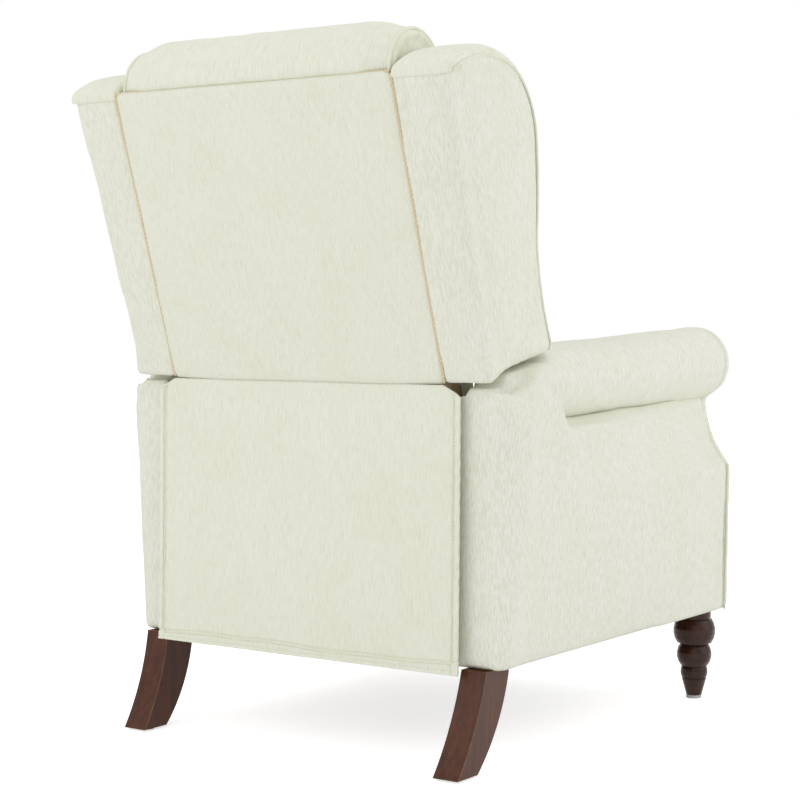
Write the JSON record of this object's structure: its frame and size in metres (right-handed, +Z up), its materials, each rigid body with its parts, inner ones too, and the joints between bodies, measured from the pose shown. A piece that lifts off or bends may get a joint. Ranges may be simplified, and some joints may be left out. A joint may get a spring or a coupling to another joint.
{
  "type": "wingback recliner",
  "caption": "Upholstered wingback armchair that reclines when pushed back: rolled arms, winged back with head roll, hanging rear flap, fold-out footrest, wooden legs.",
  "frame": {"origin": "on the floor under the middle of the chair's box at rest", "axes": "+Z up; the chair faces -Y; +X to the sitter's left"},
  "size_m": [0.7144, 0.878, 1.04],
  "materials": {
    "cream_fabric": "cream chenille upholstery over foam, slubbed",
    "flap_fabric": "cream plain-weave cloth, hemmed",
    "dark_wood": "dark walnut stain, satin, rubbed edges",
    "plywood": "raw plywood and softwood",
    "webbing": "black elastic webbing",
    "dust_cloth": "black non-woven",
    "glide_plastic": "light grey, matte",
    "zinc_steel": "zinc plated",
    "black_steel": "black powder coat"
  },
  "bodies": {
    "base": {"arm_frame_left": "plywood", "arm_frame_right": "plywood", "arm_shell_left": "cream_fabric", "arm_shell_right": "cream_fabric", "arm_inner_pad_left": "cream_fabric", "arm_inner_pad_right": "cream_fabric", "arm_roll_left": "cream_fabric", "arm_roll_right": "cream_fabric", "arm_facing_left": "cream_fabric", "arm_facing_right": "cream_fabric", "front_leg_left": "dark_wood", "front_leg_right": "dark_wood", "rear_leg_left": "dark_wood", "rear_leg_right": "dark_wood", "glides": "glide_plastic", "leg_bolts": "zinc_steel", "rear_rail": "plywood", "base_plates": "black_steel", "base_plate_bolts": "zinc_steel", "base_pivot_pins": "zinc_steel", "cross_member": "black_steel", "return_springs": "zinc_steel"},
    "rear_crank_pair": {"rear_cranks": "black_steel", "torque_tube": "black_steel"},
    "front_crank_pair": {"front_cranks": "black_steel"},
    "seat": {"seat_rails": "black_steel", "seat_pivot_pins": "zinc_steel", "seat_side_rails": "plywood", "seat_cross_rails": "plywood", "seat_straps": "webbing", "seat_dust_cover": "dust_cloth", "seat_cushion": "cream_fabric"},
    "back": {"back_stiles": "plywood", "back_rails": "plywood", "back_straps": "webbing", "back_brackets": "black_steel", "rear_panel": "cream_fabric", "head_roll": "cream_fabric", "back_cushion": "cream_fabric", "wing_frame_left": "plywood", "wing_frame_right": "plywood", "wing_cover_left": "cream_fabric", "wing_cover_right": "cream_fabric", "wing_pad_left": "cream_fabric", "wing_pad_right": "cream_fabric"},
    "flap": {"rear_flap": "flap_fabric"},
    "footrest_rear_link_pair": {"footrest_rear_links": "black_steel", "footrest_rear_link_pins": "zinc_steel"},
    "footrest_long_link_pair": {"footrest_long_links": "black_steel"},
    "footrest_front_link_pair": {"footrest_front_links": "black_steel", "footrest_front_link_pins": "zinc_steel"},
    "footrest_drive_link_pair": {"footrest_drive_links": "black_steel"},
    "footrest": {"footrest_brackets": "black_steel", "footrest_bracket_pins": "zinc_steel", "footrest_board": "plywood", "footrest_pad": "cream_fabric"}
  },
  "joints": [
    {"name": "recline", "type": "hinge", "parent": "base", "child": "rear_crank_pair", "pos_m": [0, 0.074, 0.2], "axis": [1, 0, 0], "range_deg": [0, 40], "deforming": ["return_springs"]},
    {"name": "front_cranks_swing", "type": "hinge", "parent": "base", "child": "front_crank_pair", "pos_m": [0, -0.166, 0.2], "axis": [1, 0, 0], "range_deg": [0, 40]},
    {"name": "seat_level", "type": "hinge", "parent": "rear_crank_pair", "child": "seat", "pos_m": [0, 0.13828, 0.2766], "axis": [-1, 0, 0], "range_deg": [0, 40]},
    {"name": "back_recline", "type": "hinge", "parent": "seat", "child": "back", "pos_m": [0, 0.229, 0.4], "axis": [-1, 0, 0], "range_deg": [0, 36]},
    {"name": "flap_hang", "type": "hinge", "parent": "back", "child": "flap", "pos_m": [0, 0.303, 0.543], "axis": [1, 0, 0], "range_deg": [0, 36]},
    {"name": "footrest_rear_links_swing", "type": "hinge", "parent": "seat", "child": "footrest_rear_link_pair", "pos_m": [0, -0.256, 0.3], "axis": [-1, 0, 0], "range_deg": [0, 112.7]},
    {"name": "footrest_long_links_turn", "type": "hinge", "parent": "footrest_rear_link_pair", "child": "footrest_long_link_pair", "pos_m": [0, -0.10952, 0.20882], "axis": [1, 0, 0], "range_deg": [0, 102.3]},
    {"name": "footrest_tilt", "type": "hinge", "parent": "footrest_long_link_pair", "child": "footrest", "pos_m": [0, -0.35608, 0.29132], "axis": [-1, 0, 0], "range_deg": [0, 79.6]},
    {"name": "footrest_front_links_swing", "type": "hinge", "parent": "seat", "child": "footrest_front_link_pair", "pos_m": [0, -0.291, 0.318], "axis": [-1, 0, 0], "range_deg": [0, 111.1]},
    {"name": "footrest_drive_links_turn", "type": "hinge", "parent": "footrest_front_link_pair", "child": "footrest_drive_link_pair", "pos_m": [0, -0.11829, 0.20107], "axis": [1, 0, 0], "range_deg": [0, 94]}
  ],
  "couplings": [
    {"joint": "front_cranks_swing", "follows": "recline", "ratio": 1},
    {"joint": "seat_level", "follows": "recline", "ratio": 1},
    {"joint": "back_recline", "follows": "recline", "ratio": 0.9},
    {"joint": "flap_hang", "follows": "recline", "ratio": 0.9},
    {"joint": "footrest_rear_links_swing", "follows": "recline", "ratio": 2.8175},
    {"joint": "footrest_front_links_swing", "follows": "recline", "ratio": 2.7775},
    {"joint": "footrest_long_links_turn", "follows": "recline", "ratio": 2.5575},
    {"joint": "footrest_drive_links_turn", "follows": "recline", "ratio": 2.35},
    {"joint": "footrest_tilt", "follows": "recline", "ratio": 1.99}
  ]
}
